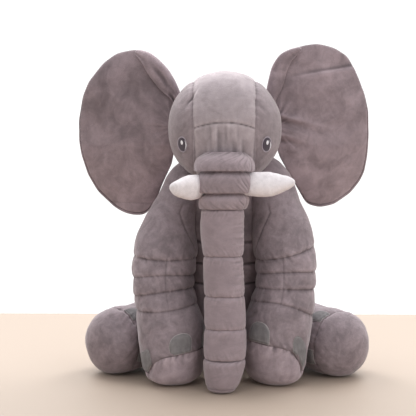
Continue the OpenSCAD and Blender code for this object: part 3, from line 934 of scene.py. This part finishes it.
def front_legs():
    for name, s in SIDES.items():
        L = LEGS[name]
        hip = JOINT[f"front_leg_{name}_swing"]
        bend = ("torso", f"front_leg_{name}", hip + [0, 8, 52], hip + [0, -14, -50])
        phi = around(230)[None, :]
        # the first rows close the shoulder, and the rest run down to the sole's seam
        t = np.linspace(0, 1, count(260))[:, None]
        close = 1 - np.cos(np.clip(t / 0.12, 0, 1) * np.pi / 2)
        cap = L["top"] - (L["top"] - L["z"][-1]) * close
        seam = leg_seam(name, phi)
        z = np.where(t < 0.12, cap, L["z"][-1] + (seam - L["z"][-1]) * (t - 0.12) / 0.88)
        g = leg_point(name, phi, z)
        g[0] = g[0].mean(0)
        dress(mesh(f"front_leg_{name}_cloth", g), "body", None, bend,
              (f"front_leg_{name}_skin", f"front_leg_{name}_filling"))
        t = np.linspace(0, 1, count(110))[:, None]
        g = sole_point(name, phi, t)
        g[-1] = g[-1].mean(0)
        dress(mesh(f"front_foot_{name}_sole_cloth", g), "sole", None, bend,
              (f"front_foot_{name}_sole",))
        mid = np.array([s * 92, leg_axis(name, 60.0), 60])
        for k, turn in enumerate(L["nails"], 1):
            def place(x, y, out):
                phi = FORWARD + turn + x / 57.0
                return leg_point(name, phi, leg_seam(name, phi) + 2.5 + y, out)

            half_w = 20.0 if k < 3 else 17.0
            nail_patch(place, half_w, 34.0, f"front_{name}_toenail_{k}", bend, mid)


# -------------------- hind legs
HIND_YAW = math.atan2(130, 162)  # how far outwards a hind leg points
BALL = 61.5  # half width of a hind foot
HIND_NAILS = (30, 108, -55)  # degrees from straight up, towards the inner side
UPWARD = np.array([0, 0, 1.0])


def hind_legs():
    for name, s in SIDES.items():
        hip = JOINT[f"hind_leg_{name}_splay"]
        c, size = span(f"hind_foot_{name}_sole")
        axis = np.array([s * math.sin(HIND_YAW), -math.cos(HIND_YAW), 0])
        inner = np.cross(axis, UPWARD) * s
        inner /= np.linalg.norm(inner)
        seed = 300 + int(s)
        # how far outwards the foot's middle lies: the right foot reaches farther out
        reach = abs(c[0]) + size[0] / 2 + (0 if s < 0 else 8) - BALL
        seam_t = (reach - abs(hip[0])) / abs(axis[0]) - 4.0

        def ring_point(a, t, r, out=0.0):
            """a turns from straight up towards the inner side; t runs from the hip to the foot."""
            up, across = np.cos(a), np.sin(a)
            q = xyz(r * up, r * across, t + 0 * a)
            d = 3.0 * lumps(q, 46, seed) + 1.1 * lumps(q, 18, seed + 1)
            for k, h in enumerate((46, 74)):
                line = t - h - 5 * across - 4 * (1 - up)
                d = d - 5.5 * np.exp(-np.abs(line) / 6) * np.clip(up + 0.6, 0, 1)
                d = d + gathers(a * r, line, 8, 10, seed + 5 + k, 1.2)
            rim = seam_t - t
            d = d - 4.0 * np.exp(-np.abs(rim) / 3.5) + gathers(a * r, rim, 13, 10, seed + 9, 1.5)
            # the thigh bulges up behind the foot
            d = d + 13 * np.clip(up, 0, 1) ** 2 * np.exp(-(((t - 78) / 30) ** 2))
            d = (d + out) * np.clip(r / 24, 0, 1)
            rr = r + d
            p = (hip + axis * t[..., None] + UPWARD * (rr * up)[..., None]
                 + inner * (rr * across)[..., None])
            # the underside is pressed flat where it lies on the floor
            z = p[..., 2]
            p[..., 2] = np.where(z < 7, 0.5 + 6.5 * np.exp((z - 7) / 8), z)
            return p

        def leg_r(d):
            share = np.clip(d / seam_t, 0, 1)
            return curve(share, [0, 0.3, 0.5, 0.7, 0.85, 1], [52, 51, 51, 57.5, 61, BALL])

        a = around(220)[None, :]
        t = np.linspace(0, 1, count(170))[:, None]
        along = -46 + (seam_t + 46) * t
        behind = 52 * np.sqrt(np.clip(1 - (along / 46.5) ** 2, 0, 1))
        r = np.where(along < 0, behind, leg_r(along))
        g = ring_point(a, along + 0 * a, r + 0 * a)
        g[0] = g[0].mean(0)
        bend = ("torso", f"hind_leg_{name}", hip - axis * 40, hip + axis * 34)
        dress(mesh(f"hind_leg_{name}_cloth", g), "body", None, bend,
              (f"hind_leg_{name}_skin", f"hind_leg_{name}_filling"))
        t = np.linspace(0, 1, count(90))[:, None]
        r = BALL * np.cos(t * np.pi / 2) ** 0.9
        out = 52.0 * np.sin(t * np.pi / 2)
        g = ring_point(a, seam_t + out + 0 * a, np.clip(r, 0, None) + 0 * a)
        g[-1] = g[-1].mean(0)
        dress(mesh(f"hind_foot_{name}_sole_cloth", g), "body", None, bend,
              (f"hind_foot_{name}_sole",))
        for k, turn in enumerate(HIND_NAILS, 1):
            def place(x, y, out):
                t = seam_t - 2.5 - y
                return ring_point(math.radians(turn) + x / 62.0, t, leg_r(t), out)

            nail_patch(place, 15.0, 31.0, f"hind_{name}_toenail_{k}", bend, hip + axis * seam_t * 0.8)


# -------------------- tail
def tail():
    root = JOINT["tail_swing"]
    c, size = span("tail_tuft")
    end = np.array([0, c[1], c[2] - size[2] / 2])
    phi = around(48)[None, :]
    t = np.linspace(0, 1, count(90))[:, None]
    top = root + [0, -9, 6]
    line = top + (end - top) * t[..., None]
    line[..., 1] += 7 * np.sin(np.pi * t)
    r = curve(t, [0, 0.08, 0.5, 0.72, 1.0], [6, 7.5, 6.5, 5.8, 5.6])
    r = r + 0.6 * noise(xyz(t * 9, np.cos(phi), np.sin(phi)), 7)
    off = xyz(r * np.cos(phi), r * np.sin(phi), 0 * r)
    # the tuft covers the rest
    g = (line + off)[: int(0.7 * len(t))]
    bend = ("torso", "tail", root + [0, -3, 9], root + [0, 1, -14])
    dress(mesh("tail_tube_cloth", g), "body", None, bend, ("tail_tube",))
    # a tuft of short fabric strips
    strips = 16
    for k in range(strips):
        a = 2 * np.pi * k / strips + 0.2 * math.sin(3.0 * k)
        u = np.linspace(0, 1, count(24))[:, None]
        v = np.linspace(0, 2 * np.pi, 10, endpoint=False)[None, :]
        start = root + (end - root) * 0.62 + [0, 3.5, 0]
        length = size[2] * (0.92 + 0.1 * math.sin(5.0 * k))
        spread = 10.0 * np.sin(u * 2.2) + 1.5
        cx, cy = start[0] + spread * math.cos(a), start[1] + spread * math.sin(a) + 3 * u
        cz = start[2] - length * u
        thick = 3.0 * np.sin(np.pi * np.clip(u * 0.9 + 0.08, 0, 1)) ** 0.6 + 0.2
        g = xyz(cx + thick * np.cos(v), cy + thick * np.sin(v), cz + 0 * v)
        g[0], g[-1] = g[0].mean(0), g[-1].mean(0)
        ob = mesh(f"tail_tuft_strand_{k + 1}", g)
        dress(ob, "sole", "tail", stands=("tail_tuft",) if k == 0 else ())


torso()
head()
eyes()
trunk()
tusks()
ears()
front_legs()
hind_legs()
tail()


# -------------------- stage
CAM_HEIGHT, CAM_BACK = 0.45, 1.785  # metres; back from 10 mm behind the head's middle
CAM_DOWN, CAM_TURN = 4.66, 0.96  # degrees


def stage():
    bpy.ops.mesh.primitive_plane_add(size=1.0, location=(0, -1.4, 0))
    floor = bpy.context.object
    floor.name = "floor"
    floor.scale = (5.0, 3.9, 1.0)
    m = bpy.data.materials.new("floor_pale")
    m.use_nodes = True
    p = m.node_tree.nodes["Principled BSDF"]
    p.inputs["Base Color"].default_value = (0.45, 0.365, 0.3, 1)
    p.inputs["Roughness"].default_value = 0.55
    floor.data.materials.append(m)
    w = bpy.data.worlds.new("studio")
    bpy.context.scene.world = w
    w.use_nodes = True
    nt = w.node_tree
    back = nt.nodes["Background"]
    back.inputs[0].default_value = (1.0, 0.995, 0.99, 1)
    where = node(nt, "ShaderNodeTexCoord")
    part = node(nt, "ShaderNodeSeparateXYZ")
    nt.links.new(where.outputs["Generated"], part.inputs[0])
    ramp = node(nt, "ShaderNodeMapRange", From_Min=-0.6, From_Max=0.5, To_Min=0.5, To_Max=1.15)
    nt.links.new(part.outputs["Y"], ramp.inputs["Value"])
    nt.links.new(ramp.outputs["Result"], back.inputs[1])
    for name, at, to, size, power in (
        ("key", (-1.1, -1.6, 1.7), (0, 0, 0.3), 1.6, 8),
        ("fill", (1.4, -1.5, 1.0), (0, 0, 0.3), 1.6, 13),
        ("top", (0, 0.25, 1.7), (0, -0.05, 0.5), 0.8, 9),
        ("rim_left", (-1.0, 1.2, 1.8), (-0.1, 0, 0.4), 1.2, 30),
        ("rim_right", (1.0, 1.2, 1.8), (0.1, 0, 0.4), 1.2, 30),
    ):
        light = bpy.data.lights.new(name, "AREA")
        light.size = size
        light.energy = power
        o = bpy.data.objects.new(name, light)
        o.location = at
        o.rotation_euler = (Vector(to) - Vector(at)).to_track_quat("-Z", "Y").to_euler()
        bpy.context.scene.collection.objects.link(o)
    cam = bpy.data.cameras.new("camera")
    cam.sensor_width = 36
    cam.lens = 85
    o = bpy.data.objects.new("camera", cam)
    o.location = (0, -CAM_BACK + (HC[1] + 10) / MM, CAM_HEIGHT)
    o.rotation_euler = (math.radians(90 - CAM_DOWN), 0, math.radians(CAM_TURN))
    bpy.context.scene.collection.objects.link(o)
    bpy.context.scene.camera = o
    bpy.context.scene.view_settings.view_transform = "Standard"


stage()
